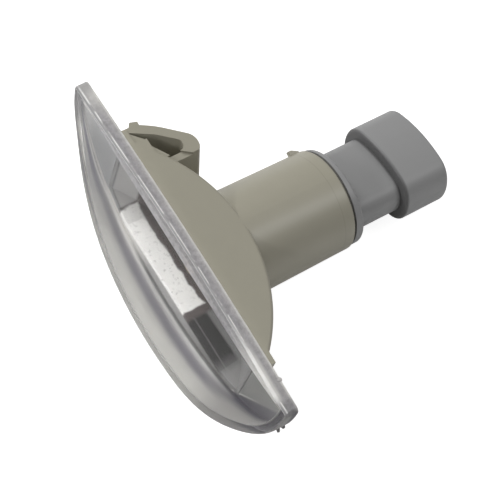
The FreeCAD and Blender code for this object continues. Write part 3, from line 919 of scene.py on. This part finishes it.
@dataclass
class Studio:
    """White table top, even white room and soft lights."""

    room: float = 0.27
    table_glow: float = 0.86
    table_colour: float = 0.5
    lights: tuple = (
        SoftLight("key", (-0.70, -0.25, 0.59), 0.9, 0.4, 0.4, 4.4),
        SoftLight("front", (-0.2, -0.85, 0.45), 0.9, 0.7, 0.12, 2.2),
        SoftLight("streak", (0.30, 0.43, 0.85), 0.9, 0.16, 0.5, 1.6),
    )

    def build(self) -> None:
        """Adds the room, the table and the lights."""
        world = bpy.data.worlds.new("room")
        world.use_nodes = True
        kit = Nodes(world.node_tree)
        backdrop = world.node_tree.nodes["Background"]
        backdrop.inputs["Color"].default_value = (1, 1, 1, 1)
        path = kit.add("ShaderNodeLightPath")
        kit.join(kit.maths("MULTIPLY_ADD", path.outputs["Is Camera Ray"], 1.0 - self.room, self.room),
                 backdrop.inputs["Strength"])
        bpy.context.scene.world = world
        for light in self.lights:
            light.place()
        self._table()

    def _table(self) -> bpy.types.Object:
        """A flat top under the lamp, which rests on its lens edge and the connector."""
        data = bpy.data.meshes.new("table")
        mesh = bmesh.new()
        bmesh.ops.create_grid(mesh, x_segments=1, y_segments=1, size=3.0)
        mesh.to_mesh(data)
        mesh.free()
        table = bpy.data.objects.new("table", data)
        bpy.context.scene.collection.objects.link(table)
        table.rotation_euler = (math.atan2(0.0112, 0.081), 0, 0)
        table.location = (0, -0.003, -0.0212)
        data.materials.append(self._table_finish())
        return table

    def _table_finish(self) -> bpy.types.Material:
        """Pale matt finish that the camera sees as white, with the shadows kept."""
        made = bpy.data.materials.new("table_white")
        made.use_nodes = True
        kit = Nodes(made.node_tree)
        tree = made.node_tree
        tree.nodes.remove(tree.nodes["Principled BSDF"])
        matt = kit.add("ShaderNodeBsdfDiffuse")
        matt.inputs["Color"].default_value = (0.9, 0.9, 0.9, 1)
        seen = kit.add("ShaderNodeBsdfDiffuse")
        seen.inputs["Color"].default_value = (self.table_colour,) * 3 + (1,)
        glow = kit.add("ShaderNodeEmission")
        glow.inputs["Color"].default_value = (1, 1, 1, 1)
        glow.inputs["Strength"].default_value = self.table_glow
        both = kit.add("ShaderNodeAddShader")
        kit.join(seen.outputs[0], both.inputs[0])
        kit.join(glow.outputs[0], both.inputs[1])
        path = kit.add("ShaderNodeLightPath")
        mix = kit.add("ShaderNodeMixShader")
        kit.join(path.outputs["Is Camera Ray"], mix.inputs[0])
        kit.join(matt.outputs[0], mix.inputs[1])
        kit.join(both.outputs[0], mix.inputs[2])
        kit.join(mix.outputs[0], tree.nodes["Material Output"].inputs["Surface"])
        return made


# The lamp


@dataclass
class Lamp:
    """Finishes on the pieces of the construction, and the fine pieces that stand for some."""

    def build(self) -> None:
        """Finishes every node and adds the fine lens."""
        grain = grain_group()
        housing = HousingPlastic("housing_plastic", (0.335, 0.318, 0.255))
        # The holder's band is painted shade in the corner at the shoulder between neck and shroud.
        holder = MouldedPlastic("holder_plastic", (0.275, 0.275, 0.275), 0.42,
                                painted_shade_bands=(("Y", SHOULDER_Y - 0.0005, SHOULDER_Y + 0.0006, 0.0006, 0.6),))
        # The seal's band is painted shade: the lower part of the ring, in the gap between the tube end and
        # the flange, is darkened.
        seal = MouldedPlastic("seal_rubber", (0.15, 0.145, 0.13), 0.8, specular=0.2,
                              painted_shade_bands=(("Z", -0.03, 0.006, 0.012, 0.88),))
        liner = LinerPatch("liner_patch", (0.90, 0.89, 0.86), (0.03, 0.028, 0.027))
        wire = BareMetal("wire_metal", (0.5, 0.5, 0.48), 0.3)
        brass = BareMetal("contact_metal", (0.72, 0.62, 0.4), 0.3)
        bulb = ClearPlastic("bulb_amber", (0.93, 0.62, 0.32), 0.05, 1.5, 0.0)
        clear = ClearPlastic("lens_clear", (0.97, 0.972, 0.975), 0.05, 1.3)
        light, violet = (0.58, 0.57, 0.53), (0.165, 0.157, 0.18)
        walls = FrostedWall("lens_walls", (
            (0.0, (0.18, 0.175, 0.17)), (0.08, (0.2, 0.195, 0.19)), (0.13, (0.85, 0.84, 0.82)),
            (0.18, (0.55, 0.54, 0.53)), (0.26, (0.22, 0.21, 0.22)), (0.36, violet),
            (0.46, (0.19, 0.18, 0.2)), (0.6, light), (1.0, light)))
        worn = {"housing": housing, "bulb_holder": holder, "holder_seal": seal,
                "reflector": liner, "bulb_filament": wire, "bulb_lead_left": wire,
                "bulb_lead_right": wire, "contact_left": brass, "contact_right": brass,
                "bulb_glass": bulb, "lens": clear}
        made = {}
        for node, finish in worn.items():
            if finish.name not in made:
                made[finish.name] = finish.material(grain)
            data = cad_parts[node].data
            data.materials.clear()
            data.materials.append(made[finish.name])
        lens = ClearLens().build()
        lens.data.materials.append(made["lens_clear"])
        lens.data.materials.append(walls.material(grain))
        lens.data.materials.append(LitEdge("lens_edge_highlight").material(grain))
        lens.visible_shadow = False
        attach(lens, "root")
        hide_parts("lens")


def main() -> None:
    """Builds the looks, the studio and the camera."""
    logging.basicConfig(level=logging.INFO)
    bpy.context.scene.view_settings.view_transform = "Standard"
    Lamp().build()
    Studio().build()
    PhotoCamera().add()


if __name__ == "__main__":
    main()
